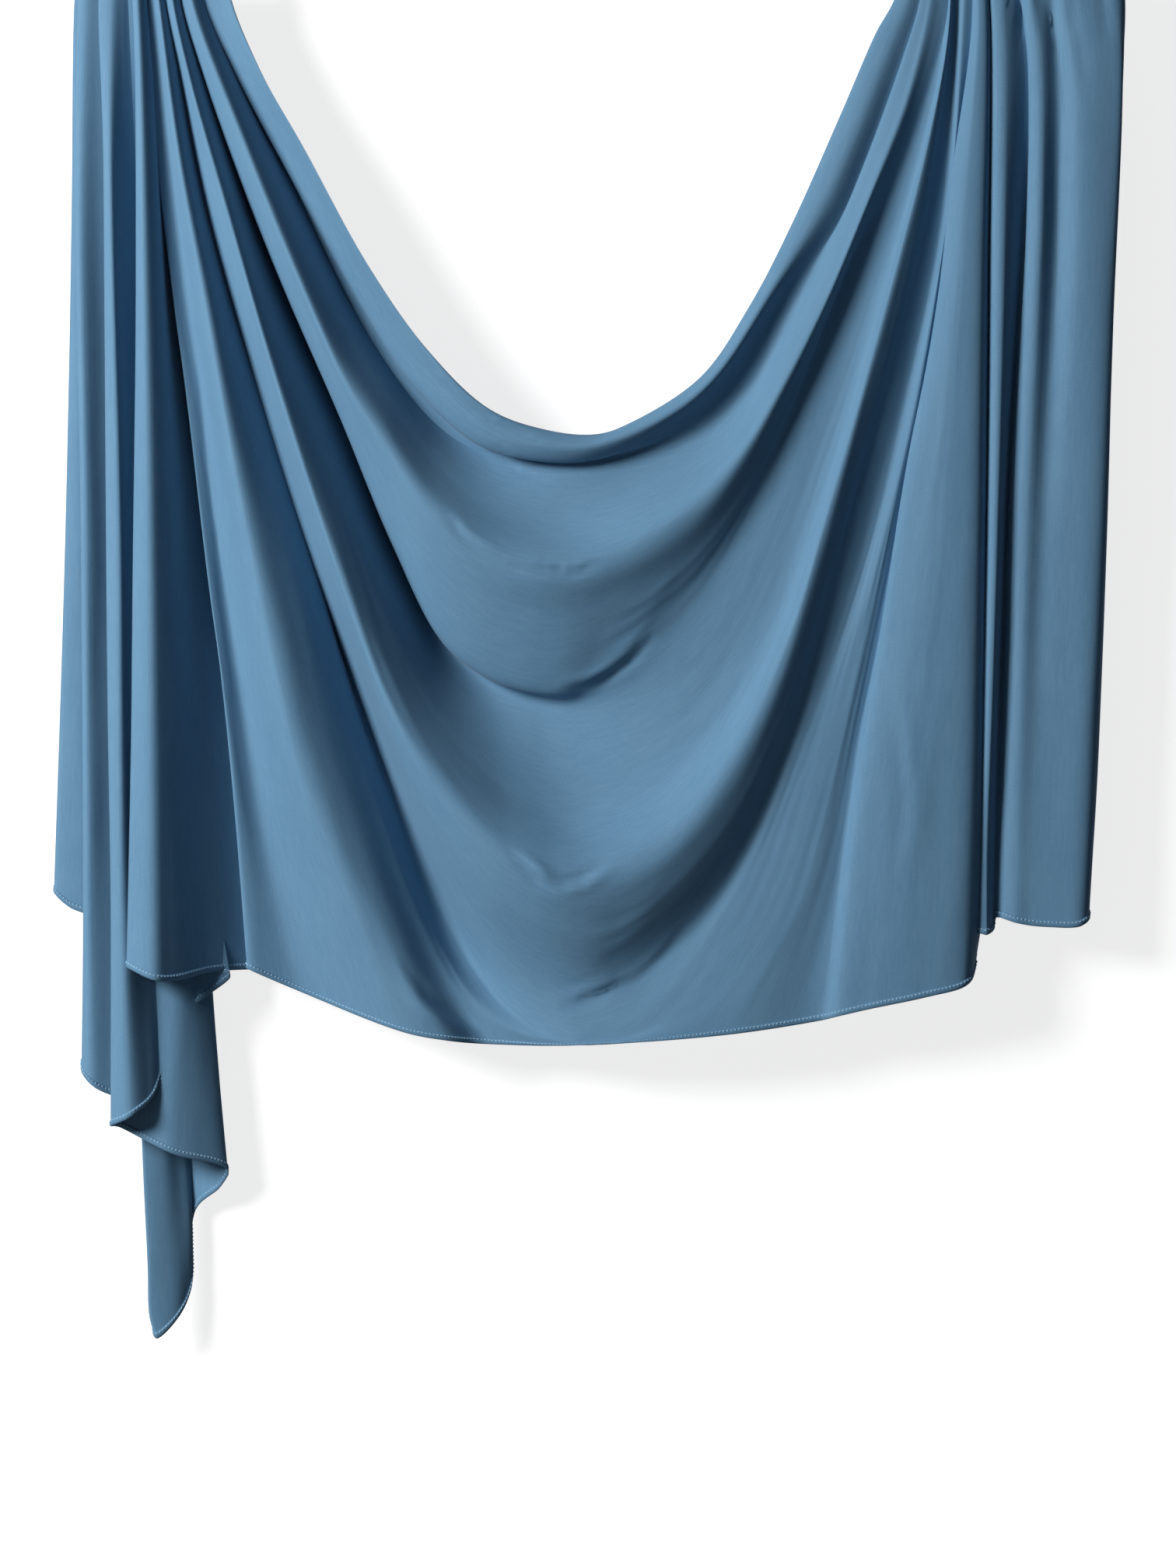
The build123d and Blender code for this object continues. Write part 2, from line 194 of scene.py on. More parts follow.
rightFan = [
    {"name": "hemMiddle", "depth": (5, 6, 7, 8, 8, 6, 4, 3, 3),
     "run": [(518, 0), (517, -25), (505, -175), (484, -275), (459, -375), (427, -475), (388, -575),
             (345, -645), (310, -684), (276, -695)]},
    {"name": "kneeFace", "depth": (0, 2, 4, -2),
     "run": [(522, 0), (521, -25), (512, -150), (492, -275), (470, -375), (448, -475), (415, -600),
             (370, -688)]},
    {"name": "creaseTuck", "depth": (3, 5, 6, 0),
     "run": [(527, 0), (526, -50), (515, -138), (507, -207), (498, -265), (484, -340), (466, -440),
             (450, -529), (430, -679)]},
    {"name": "creaseEdge", "depth": (-3, -2, 0, -5),
     "run": [(526, 0), (525, -50), (512, -143), (505, -207), (497, -258), (484, -323), (467, -430),
             (452, -529), (437, -677)]},
    {"name": "bandFront", "depth": (-8, -9, -9, -9),
     "run": [(528, 0), (528, -50), (518, -150), (511, -225), (501, -310), (486, -430), (468, -560),
             (458, -672)]},
    {"name": "bandFace", "depth": (-9, -11, -12, -12),
     "run": [(530, 0), (530, -50), (523, -150), (517, -250), (511, -350), (504, -475), (496, -664)]},
    {"name": "bandRound", "depth": (-7, -9, -10, -10),
     "run": [(533, 0), (535, -50), (532, -200), (529, -400), (525, -560), (521, -657)]},
    {"name": "bandTuck", "depth": (4, 7, 7, 5),
     "run": [(536, 0), (539, -50), (539, -200), (538, -400), (534, -600), (528, -645)]},
    {"name": "slimEdge", "depth": (-2, -4, -5, -4, -1),
     "run": [(536, 0), (538, -50), (537, -200), (536, -300), (533, -450), (530, -570), (528, -624)]},
    {"name": "slimFace", "depth": (-7, -9, -10, -9, -5),
     "run": [(542, 0), (545, -50), (544, -200), (542, -300), (538, -450), (534, -570), (534, -625)]},
    {"name": "slimTuck", "depth": (5, 8, 7, 4),
     "run": [(551, 0), (562, -60), (561, -160), (557, -240), (551, -330), (546, -450), (540, -621)]},
    {"name": "outEdge", "depth": (0, 1, 2, 3),
     "run": [(553, 0), (561, -60), (561, -160), (557, -240), (551, -330), (547, -450), (541, -614)]},
    {"name": "outFace", "depth": (-6, -6, -5, -4, -3),
     "run": [(558, 0), (568, -60), (569, -150), (566, -225), (561, -325), (556, -450), (552, -617)]},
    {"name": "outTuck", "depth": (2, 2, -1, -3, -3),
     "run": [(568, 0), (580, -60), (580, -150), (578, -225), (573, -325), (567, -450), (562, -619)]},
    {"name": "sideFace", "depth": (-5, -6, -5, -4, -4),
     "run": [(578, 0), (590, -60), (592, -150), (590, -225), (586, -325), (579, -450), (574, -620)]},
    {"name": "sidePanel", "depth": (-4, -5, -5, -5),
     "run": [(602, 0), (612, -60), (610, -200), (606, -350), (599, -500), (593, -620)]},
    {"name": "sideFront", "depth": (-1, -1, -1, -2),
     "run": [(617, 0), (622, -60), (616, -235), (611, -376), (605, -500), (599, -617)]},
    {"name": "sideFold", "depth": (6, 7, 7, 5),
     "run": [(620, 0), (624, -25), (619, -125), (615, -235), (612, -376), (607, -517), (601, -613)]},
    {"name": "sideBack", "depth": (12, 13, 12, 10),
     "run": [(616, 0), (620, -60), (612, -235), (607, -376), (600, -500), (595, -608)]},
    {"name": "backPanel", "depth": (15, 18, 18, 16),
     "run": [(590, 0), (588, -200), (580, -400), (570, -604)]},
    {"name": "rightEnd", "depth": (19, 22, 22, 20),
     "run": [(546, 0), (532, -200), (514, -400), (498, -600)]},
]

# A crease is a short run in the front face. size says how high it stands, and one with a break
# stands forward on its upper side and back on its lower side.
creases = [
    {"width": 3.5, "size": 2.4, "break": True, "run": [(196, -362), (204, -372), (222, -384), (234, -389)]},
    {"width": 3.0, "size": 2.0, "break": True, "run": [(226, -390), (247, -391), (258, -394)]},
    {"width": 3.0, "size": 2.2, "break": True, "run": [(256, -389), (270, -393), (284, -389)]},
    {"width": 4.5, "size": 3.3, "break": True, "run": [(236, -574), (249, -586), (256, -592)]},
    {"width": 4.0, "size": -2.7, "break": True, "run": [(262, -594), (278, -590), (292, -582)]},
    {"width": 4.5, "size": 2.8, "break": True, "run": [(268, -467), (284, -463), (302, -451), (316, -438)]},
    {"width": 4.0, "size": 2.6, "break": True, "run": [(268, -667), (284, -662), (300, -654)]},
    {"width": 4.0, "size": 0.9, "break": True, "run": [(298, -658), (312, -650), (327, -636), (338, -622)]},
    {"width": 5.5, "size": -3.9, "break": True,
     "run": [(166, -650), (180, -670), (196, -680), (208, -688)]},
    {"width": 2.6, "size": 0.7, "break": False, "run": [(284, -452), (306, -438), (324, -420)]},
    {"width": 2.6, "size": 0.7, "break": False, "run": [(290, -438), (312, -424), (334, -404)]},
    {"width": 2.4, "size": 0.6, "break": False, "run": [(296, -424), (318, -412), (336, -396)]},
    {"width": 2.6, "size": 0.7, "break": False, "run": [(282, -640), (304, -628), (322, -612)]},
    {"width": 2.6, "size": 0.8, "break": False, "run": [(286, -626), (308, -616), (328, -600)]},
    {"width": 2.4, "size": 0.6, "break": False, "run": [(290, -612), (312, -604), (328, -592)]},
    {"width": 2.4, "size": 1.8, "break": True, "run": [(180, -262), (195, -281), (214, -300)]},
    {"width": 2.4, "size": 1.5, "break": True, "run": [(206, -285), (226, -300), (250, -310)]},
    {"width": 2.4, "size": 2.0, "break": True, "run": [(222, -313), (237, -326), (256, -330)]},
    {"width": 3.0, "size": 1.2, "break": True, "run": [(34, -272), (38, -320), (46, -380), (56, -440)]},
    {"width": 7.0, "size": 1.1, "break": True, "run": [(477, -478), (482, -510), (484, -545), (479, -578)]},
    {"width": 1.8, "size": -2.2, "break": False, "run": [(543, -2), (543, -20), (544, -38)]},
    {"width": 1.8, "size": -1.8, "break": False, "run": [(552, -2), (549, -22), (548, -44)]},
    {"width": 2.0, "size": -2.2, "break": False, "run": [(561, -4), (558, -30), (556, -60)]},
    {"width": 1.8, "size": -2.0, "break": False, "run": [(569, -2), (567, -26), (568, -52)]},
    {"width": 2.2, "size": -3.0, "break": False, "run": [(580, -2), (578, -36), (580, -74)]},
    {"width": 3.0, "size": -1.6, "break": False, "run": [(585, -4), (591, -45), (601, -90)]},
    {"width": 2.2, "size": -1.6, "break": False, "run": [(606, -2), (609, -24), (612, -50)]},
]

sheetShape = {
    "flat": (0.64, 1.9),      # the cut cloth, in metres; every other length here is in millimetres
    "gatherY": -19.0,         # depth of the mean surface at the gathers
    "swell": 18.0,            # how far the middle hangs forward of it
    "swellFrom": -40.0,       # the swell lies between this x and the next one
    "swellTo": 590.0,
    "swellPower": 1.3,        # how much it keeps to the middle
    "swellTop": -20.0,        # it starts at this height and grows over the next length
    "swellDrop": 170.0,
    "relief": 1.35,           # the swags' fold depths are scaled by this on the left
    "rightRelief": 0.65,      # and by this on the right
    "reliefFrom": 250.0,      # the change from one to the other starts at this x
    "reliefOver": 180.0,
    "pinched": 0.4,           # what is left of a fold's depth at the gathers
    "opensBy": 260.0,         # below the gathers, where the folds have their full depth
    "alongSamples": 128,      # steps along each fold line
    "crowding": 0.45,         # how much shorter they get towards the low end
    "step": 3.7,              # wanted step across the fold lines
    "leastGap": 0.2,          # two lines are never taken to lie closer than this
    "stepLimits": (2, 16),    # fewest and most steps between two lines
    "hemBlend": 0.72,         # from this share of its length a fan's last line looks to the other fan
    "creaseLines": 6,         # the creases start this many lines before the left hemMiddle
    "backLines": 2,           # and leave out this many lines at the back of the roll
    "streakLong": 70.0,       # length, width and depth of the fine streaks along the folds
    "streakWide": 12.0,
    "streakDepth": 0.4,
    "streaksBy": 420.0,       # below the gathers, where they have their full depth
    "streakSeed": 3.1,
}
pointSamples = 24     # smoothed points from each given point of a run to the next
creaseShape = {
    "samples": 8,             # the same for a crease's run
    "ends": 0.06,             # how far into its half wave of height a crease starts and ends
    "fade": 0.8,              # power of that wave; a lower one keeps more of the crease high
    "breakSides": 1.6,        # how high a break's two sides stand against its size
}


def smoothRun(points, samples=pointSamples):     # a Catmull-Rom curve through the run
    pts = np.array(points, float)
    ends = np.vstack([2 * pts[0] - pts[1], pts, 2 * pts[-1] - pts[-2]])
    knots = np.concatenate([[0], np.cumsum(np.linalg.norm(np.diff(ends, axis=0), axis=1) ** 0.5)])
    dense = []
    for i in range(1, len(ends) - 2):
        t0, t1, t2, t3 = knots[i - 1:i + 3]
        for t in np.linspace(t1, t2, samples, endpoint=False):
            a1 = (t1 - t) / (t1 - t0) * ends[i - 1] + (t - t0) / (t1 - t0) * ends[i]
            a2 = (t2 - t) / (t2 - t1) * ends[i] + (t - t1) / (t2 - t1) * ends[i + 1]
            a3 = (t3 - t) / (t3 - t2) * ends[i + 1] + (t - t2) / (t3 - t2) * ends[i + 2]
            b1 = (t2 - t) / (t2 - t0) * a1 + (t - t0) / (t2 - t0) * a2
            b2 = (t3 - t) / (t3 - t1) * a2 + (t - t1) / (t3 - t1) * a3
            dense.append((t2 - t) / (t2 - t1) * b1 + (t - t1) / (t2 - t1) * b2)
    dense.append(pts[-1])
    return np.array(dense)


def alongShares():     # steps along a line, closer together towards the low end
    even = np.linspace(0, 1, sheetShape["alongSamples"] + 1)
    return even + sheetShape["crowding"] * even * (1 - even)


def spaced(dense, shares):
    length = np.concatenate([[0], np.cumsum(np.linalg.norm(np.diff(dense, axis=0), axis=1))])
    want = shares * length[-1]
    return np.stack([np.interp(want, length, dense[:, c]) for c in range(dense.shape[1])], 1)


def track(values, shares):     # listed values at even steps, read smoothly at the given shares
    values = np.array(values, float)
    ends = np.concatenate([[values[0]], values, [values[-1]]])
    place = np.clip(shares, 0, 1) * (len(values) - 1)
    i = np.minimum(place.astype(int), len(values) - 2)
    f = place - i
    p0, p1, p2, p3 = ends[i], ends[i + 1], ends[i + 2], ends[i + 3]
    return p1 + 0.5 * f * (p2 - p0 + f * (2 * p0 - 5 * p1 + 4 * p2 - p3 + f * (3 * (p1 - p2) + p3 - p0)))


def meanDepth(x, z):     # the mean surface: flat at the gathers, swelling forward between and below them
    share = (x - sheetShape["swellFrom"]) / (sheetShape["swellTo"] - sheetShape["swellFrom"])
    across = np.clip(np.sin(np.pi * np.clip(share, 0, 1)), 0, 1) ** sheetShape["swellPower"]
    down = 1 - np.exp(np.minimum(z - sheetShape["swellTop"], 0) / sheetShape["swellDrop"])
    return sheetShape["gatherY"] - sheetShape["swell"] * across * down


def halfLines(side):     # the lines of one half as points, from its fan's outer edge to the top edge
    shares = alongShares()
    whole = 0.5 * shares if side == "left" else 1 - 0.5 * shares
    fan = leftFan if side == "left" else rightFan[::-1]
    lines = []
    for line in fan:
        flat = spaced(smoothRun(line["run"]), shares)
        lines.append(np.stack([flat[:, 0], track(line["depth"], shares), flat[:, 1]], 1))
    edges = {}
    for n, line in enumerate(swags):
        if "low" not in line:
            continue
        dense = smoothRun(line["leftRun"] + [line["low"]] + line["rightRun"])
        turn = pointSamples * len(line["leftRun"])
        half = dense[:turn + 1] if side == "left" else dense[turn:][::-1]
        flat = spaced(half, shares)
        edges[n] = np.stack([flat[:, 0], track(line["depth"], whole), flat[:, 1]], 1)
    for n, line in enumerate(swags):
        if n in edges:
            lines.append(edges[n])
        else:
            share = track(line["share"], whole)[:, None]
            mixed = edges[n - 1] * (1 - share) + edges[n + 1] * share
            mixed[:, 1] = track(line["depth"], whole)
            lines.append(mixed)
    lines = np.array(lines)
    rightward = (lines[len(fan):, :, 0] - sheetShape["reliefFrom"]) / sheetShape["reliefOver"]
    rightward = np.clip(rightward, 0, 1)
    relief = sheetShape["relief"] + (sheetShape["rightRelief"] - sheetShape["relief"]) * rightward
    lines[len(fan):, :, 1] *= relief
    opening = np.clip(-lines[:, :, 2] / sheetShape["opensBy"], 0, 1)
    lines[:, :, 1] *= sheetShape["pinched"] + (1 - sheetShape["pinched"]) * opening * (2 - opening)
    lines[:, :, 1] += meanDepth(lines[:, :, 0], lines[:, :, 2])
    return lines


def stepCounts(lines):     # more steps across where two lines lie far apart
    gaps = np.linalg.norm(np.diff(lines, axis=0), axis=2).max(1)
    return np.clip(np.round(gaps / sheetShape["step"]), *sheetShape["stepLimits"]).astype(int)


def between(u, v, a, b, t):
    w = ((t - u) / (v - u))[:, None]
    return a * (1 - w) + b * w


def acrossRows(lines, steps, hemLine, facing):     # curves across the lines, joined at the hem's middle
    ends = np.concatenate([[2 * lines[0] - lines[1]], lines, [2 * lines[-1] - lines[-2]]])
    past = (alongShares() - sheetShape["hemBlend"]) / (1 - sheetShape["hemBlend"])
    atHem = np.clip(past, 0, 1)[:, None] ** 2
    gap = sheetShape["leastGap"]
    rows, marks = [], []
    for i in range(1, len(ends) - 2):
        before, first, second, after = ends[i - 1], ends[i], ends[i + 1], ends[i + 2]
        if i == hemLine:
            after = after * (1 - atHem) + facing * atHem
        if i == hemLine + 1:
            before = before * (1 - atHem) + (2 * first - second) * atHem
        t0 = np.zeros(ends.shape[1])
        t1 = t0 + np.maximum(np.linalg.norm(first - before, axis=1), gap) ** 0.5
        t2 = t1 + np.maximum(np.linalg.norm(second - first, axis=1), gap) ** 0.5
        t3 = t2 + np.maximum(np.linalg.norm(after - second, axis=1), gap) ** 0.5
        for f in np.arange(steps[i - 1]) / steps[i - 1]:
            t = t1 + f * (t2 - t1)
            a1 = between(t0, t1, before, first, t)
            a2 = between(t1, t2, first, second, t)
            a3 = between(t2, t3, second, after, t)
            b1 = between(t0, t2, a1, a2, t)
            b2 = between(t1, t3, a2, a3, t)
            rows.append(between(t1, t2, b1, b2, t))
            marks.append(i - 1 + f)
    rows.append(lines[-1])
    marks.append(float(len(lines) - 1))
    return np.array(rows), np.array(marks)


def creaseHeights(points):     # how far the creases push points of the front face forward
    place = points[:, [0, 2]]
    rise = np.zeros(len(place))
    for crease in creases:
        path = smoothRun(crease["run"], creaseShape["samples"])
        spans = place[:, None, :] - path[None, :, :]
        away = np.linalg.norm(spans, axis=2)
        near = away.argmin(1)
        share = near / (len(path) - 1)
        ahead = path[np.minimum(near + 1, len(path) - 1)] - path[np.maximum(near - 1, 0)]
        offset = spans[np.arange(len(place)), near]
        side = np.sign(ahead[:, 0] * offset[:, 1] - ahead[:, 1] * offset[:, 0])
        fall = away.min(1) / crease["width"]
        wave = creaseShape["ends"] + (1 - 2 * creaseShape["ends"]) * share
        fade = np.sin(np.pi * wave) ** creaseShape["fade"]
        form = np.exp(-fall ** 2) * (side * fall * creaseShape["breakSides"] if crease["break"] else 1.0)
        rise += crease["size"] * fade * form
    return rise


def wrinkled(rows, marks, firstLine, lastLine, side):     # fine streaks along the folds, and the creases
    along = np.cumsum(np.linalg.norm(np.diff(rows, axis=1), axis=2)[:, ::-1], 1)[:, ::-1] * side
    along = np.concatenate([along, np.zeros((len(rows), 1))], 1)
    wide = np.concatenate([[0], np.cumsum(np.linalg.norm(np.diff(rows[:, -1], axis=0), axis=1))])
    wide -= wide[-1]
    for i in range(len(rows)):
        if firstLine <= marks[i] <= lastLine:
            rows[i, :, 1] -= creaseHeights(rows[i])
        for k in range(rows.shape[1]):
            spot = Vector((along[i, k] / sheetShape["streakLong"], wide[i] / sheetShape["streakWide"],
                           sheetShape["streakSeed"]))
            fade = min(1.0, -rows[i, k, 2] / sheetShape["streaksBy"]) ** 2
            rows[i, k, 1] += sheetShape["streakDepth"] * fade * noise.noise(spot)
    return rows


print("stage: sheet")
left, right = halfLines("left"), halfLines("right")
leftHem, rightHem = len(leftFan) - 1, len(rightFan) - 1     # the lines that end at the middle of the hem
stepsLeft, stepsRight = stepCounts(left), stepCounts(right)
shared = np.maximum(stepsLeft[leftHem:], stepsRight[rightHem:])
stepsLeft[leftHem:] = shared
stepsRight[rightHem:] = shared
rowsLeft, marksLeft = acrossRows(left, stepsLeft, leftHem, right[rightHem - 1])
rowsRight, marksRight = acrossRows(right, stepsRight, rightHem, left[leftHem - 1])
sharedRows = shared.sum() + 1
lastLeft = len(left) - 1 - sheetShape["backLines"]
lastRight = len(right) - 1 - sheetShape["backLines"]
rowsLeft = wrinkled(rowsLeft, marksLeft, leftHem - sheetShape["creaseLines"], lastLeft, -1)
rowsRight = wrinkled(rowsRight, marksRight, 0, lastRight, 1)
middle = 0.5 * (rowsLeft[-sharedRows:, -1] + rowsRight[-sharedRows:, -1])
rowsLeft[-sharedRows:, -1] = middle
rowsRight[-sharedRows:, -1] = middle


def makeMesh(name, verts, faces):
    mesh = bpy.data.meshes.new(name)
    mesh.from_pydata([tuple(v) for v in verts], [], faces)
    mesh.update()
    piece = bpy.data.objects.new(name, mesh)
    bpy.context.scene.collection.objects.link(piece)
    return piece


def flatLayout(rows, firstShared):     # where each point lies on the flat cut, in metres
    wide = np.linalg.norm(np.diff(rows, axis=0), axis=2).max(1)
    u = np.concatenate([[0], np.cumsum(wide)])
    along = np.cumsum(np.linalg.norm(np.diff(rows, axis=1), axis=2), 1)
    v = np.concatenate([np.zeros((len(rows), 1)), along], 1)
    u = u - u[firstShared]
    return np.stack([np.repeat(u[:, None], rows.shape[1], 1), v], 2) / 1000


def buildSheet():
    count = rowsLeft.shape[1]
    firstLeft = rowsLeft.shape[0] - sharedRows
    firstRight = rowsRight.shape[0] - sharedRows
    verts = np.concatenate([rowsLeft.reshape(-1, 3), rowsRight.reshape(-1, 3)]) / 1000
    layoutLeft = flatLayout(rowsLeft, firstLeft)
    layoutRight = flatLayout(rowsRight, firstRight)
    reach = np.full(len(rowsRight), layoutLeft[firstLeft, -1, 1] + layoutRight[firstRight, -1, 1])
    reach[firstRight:] = layoutLeft[firstLeft:, -1, 1] + layoutRight[firstRight:, -1, 1]
    layoutRight[:, :, 1] = reach[:, None] - layoutRight[:, :, 1]
    layout = np.concatenate([layoutLeft.reshape(-1, 2), layoutRight.reshape(-1, 2)])
    offset = rowsLeft.shape[0] * count

    def leftSpot(i, k):
        return i * count + k

    def rightSpot(i, k):
        if k == count - 1 and i >= firstRight:
            return leftSpot(firstLeft + i - firstRight, k)
        return offset + i * count + k

    faces = []
    for i in range(rowsLeft.shape[0] - 1):
        for k in range(count - 1):
            faces.append((leftSpot(i, k), leftSpot(i, k + 1), leftSpot(i + 1, k + 1),
                          leftSpot(i + 1, k)))
    for i in range(rowsRight.shape[0] - 1):
        for k in range(count - 1):
            faces.append((rightSpot(i, k), rightSpot(i + 1, k), rightSpot(i + 1, k + 1),
                          rightSpot(i, k + 1)))
    sheet = makeMesh("jerseyCloth", verts, faces)
    uvMap = sheet.data.uv_layers.new(name="flatCut")
    corners = np.zeros(len(sheet.data.loops), int)
    sheet.data.loops.foreach_get("vertex_index", corners)
    uvMap.data.foreach_set("uv", layout[corners].ravel())
    return sheet


def smoothed(piece):
    for face in piece.data.polygons:
        face.use_smooth = True
    return piece


cloth = smoothed(buildSheet())

print("stage: hems and stitches")
hemShape = {
    "width": 4.0,             # of the turned edge, in millimetres
    "half": 0.7,              # half its thickness
    "overhang": 0.3,          # how far it reaches past the cloth's edge
    "stitchIn": 2.9,          # from the edge to the row of stitches
    "stitchPitch": 2.5,
    "stitchLong": 1.7,
    "stitchWide": 0.9,
    "stitchHalf": 1.25,       # half of a stitch's height through the cloth
    "patternAt": 0.9,         # where the hems lie in the cloth's pattern, in metres
}


def edgeStrip(edge, inner):     # along an edge of the cloth: the way into the cloth, and its normal
    into = inner - edge
    into /= np.maximum(np.linalg.norm(into, axis=1), 0.001)[:, None]
    ahead = np.gradient(edge, axis=0)
    normal = np.cross(ahead, into)
    normal /= np.maximum(np.linalg.norm(normal, axis=1), 0.001)[:, None]
    return into, normal


def buildHem(name, edge, inner, layout):     # the turned edge, a flat closed tube along the cloth's rim
    into, normal = edgeStrip(edge, inner)
    wide = hemShape["width"]
    half = hemShape["half"]
    ring = [(wide, 0.1 * half), (0.7 * wide, half), (0, 0.9 * half), (-hemShape["overhang"], 0),
            (0, -0.9 * half), (0.7 * wide, -half), (wide, -0.1 * half)]
    verts = np.concatenate([(edge + into * reach + normal * rise)[:, None, :] for reach, rise in ring], 1)
    count, around = len(edge), len(ring)
    faces = []
    for i in range(count - 1):
        for j in range(around):
            after = (j + 1) % around
            here, there = i * around, (i + 1) * around
            faces.append((here + j, here + after, there + after, there + j))
    faces.append(tuple(range(around))[::-1])
    faces.append(tuple((count - 1) * around + j for j in range(around)))
    hem = makeMesh(name, verts.reshape(-1, 3) / 1000, faces)
    uvMap = hem.data.uv_layers.new(name="flatCut")
    corners = np.zeros(len(hem.data.loops), int)
    hem.data.loops.foreach_get("vertex_index", corners)
    places = np.repeat(layout[:, None, :], around, 1).reshape(-1, 2)
    places[:, 1] += np.tile([reach / 1000 for reach, rise in ring], count)
    uvMap.data.foreach_set("uv", places[corners].ravel())
    return smoothed(hem)


def stitchSpots(edge, inner):     # a row of stitches a little above an edge
    into, normal = edgeStrip(edge, inner)
    length = np.concatenate([[0], np.cumsum(np.linalg.norm(np.diff(edge, axis=0), axis=1))])
    places = np.arange(hemShape["stitchPitch"], length[-1] - 1, hemShape["stitchPitch"])

    def at(values):
        return np.stack([np.interp(places, length, values[:, c]) for c in range(3)], 1)

    middle = at(edge + into * hemShape["stitchIn"])
    ahead = at(np.gradient(edge, axis=0))
    ahead /= np.linalg.norm(ahead, axis=1)[:, None]
    return middle, ahead, at(into), at(normal)


def buildStitches(name, rows):     # each stitch is a small rounded bar that shows on both faces
    along, aside, out = hemShape["stitchLong"] / 2, hemShape["stitchWide"] / 2, hemShape["stitchHalf"]
    corners = [(-0.6, -1, 0.5), (0.6, -1, 0.5), (0.6, 1, 0.5), (-0.6, 1, 0.5),
               (-0.6, -1, -0.5), (0.6, -1, -0.5), (0.6, 1, -0.5), (-0.6, 1, -0.5),
               (0, 0, 1), (0, 0, -1), (-1, 0, 0), (1, 0, 0)]
    bar = [(0, 1, 8), (1, 2, 8), (2, 3, 8), (3, 0, 8), (5, 4, 9), (6, 5, 9), (7, 6, 9), (4, 7, 9),
           (4, 5, 1, 0), (6, 7, 3, 2), (0, 3, 10), (3, 7, 10), (7, 4, 10), (4, 0, 10),
           (2, 1, 11), (6, 2, 11), (5, 6, 11), (1, 5, 11)]
    verts, faces = [], []
    for edge, inner in rows:
        for middle, ahead, into, normal in zip(*stitchSpots(edge, inner)):
            first = len(verts)
            for a, b, c in corners:
                verts.append((middle + ahead * a * along + into * b * aside + normal * c * out) / 1000)
            faces += [tuple(first + i for i in face) for face in bar]
    return smoothed(makeMesh(name, verts, faces))


freeLeft, freeRight = len(rowsLeft) - sharedRows + 1, len(rowsRight) - sharedRows + 1
rims = {"bottomHem": (np.concatenate([rowsLeft[:freeLeft, -1], rowsRight[:freeRight - 1, -1][::-1]]),
                      np.concatenate([rowsLeft[:freeLeft, -3], rowsRight[:freeRight - 1, -3][::-1]])),
        "leftEndHem": (rowsLeft[0], rowsLeft[1]),
        "rightEndHem": (rowsRight[0], rowsRight[1]),
        "topHem": (np.concatenate([rowsLeft[-1], rowsRight[-1, :-1][::-1]]),
                   np.concatenate([rowsLeft[-2], rowsRight[-2, :-1][::-1]]))}
hems = {}
for name, (edge, inner) in rims.items():
    length = np.concatenate([[0], np.cumsum(np.linalg.norm(np.diff(edge, axis=0), axis=1))]) / 1000
    layout = np.stack([length, np.full(len(edge), hemShape["patternAt"])], 1)
    hems[name] = buildHem(name, edge, inner, layout)
stitches = buildStitches("hemStitches", rims.values())

for piece in [cloth, stitches, *hems.values()]:
    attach(piece, "root")
hemNodes = [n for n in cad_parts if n.endswith("_hem")]
stitchNodes = [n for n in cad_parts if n.endswith("_stitches")]
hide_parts(*[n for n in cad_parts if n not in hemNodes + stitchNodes])
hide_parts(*hemNodes)
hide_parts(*stitchNodes)

print("stage: materials")
clothLook = {
    "colour": "#618AA7",
    "fleck": "#527B9B",       # the darker yarn
    "pale": "#789FBB",        # the lighter yarn
    "roughness": 0.78,
    "specular": 0.3,
    "sheen": 0.16,
    "sheenRoughness": 0.35,
    "sheenTint": (0.8, 0.78, 0.8, 1),
    "grainMm": 1.1,           # size of the knit's grain, in millimetres of the cut cloth
    "grainDepth": 0.0003,     # in metres
    "grainStrength": 0.25,
    "blotchMm": 70.0,         # size of the faint uneven patches
    "streakMm": 2.2,          # width of the yarn streaks
    "streakStretch": 0.06,    # how slowly they change along the yarn
}
threadLook = {"colour": "#9CC0D8", "roughness": 0.55}


def linear(code):     # a hex colour as the renderer's linear one
    parts = [int(code[i:i + 2], 16) / 255 for i in (1, 3, 5)]
    return tuple(c / 12.92 if c <= 0.04045 else ((c + 0.055) / 1.055) ** 2.4 for c in parts) + (1.0,)


def addNode(tree, kind, settings=None, links=None):     # settings and links go by socket name
    node = tree.nodes.new(kind)
    for socket, value in (settings or {}).items():
        node.inputs[socket].default_value = value
    for socket, source in (links or {}).items():
        tree.links.new(source, node.inputs[socket])
    return node


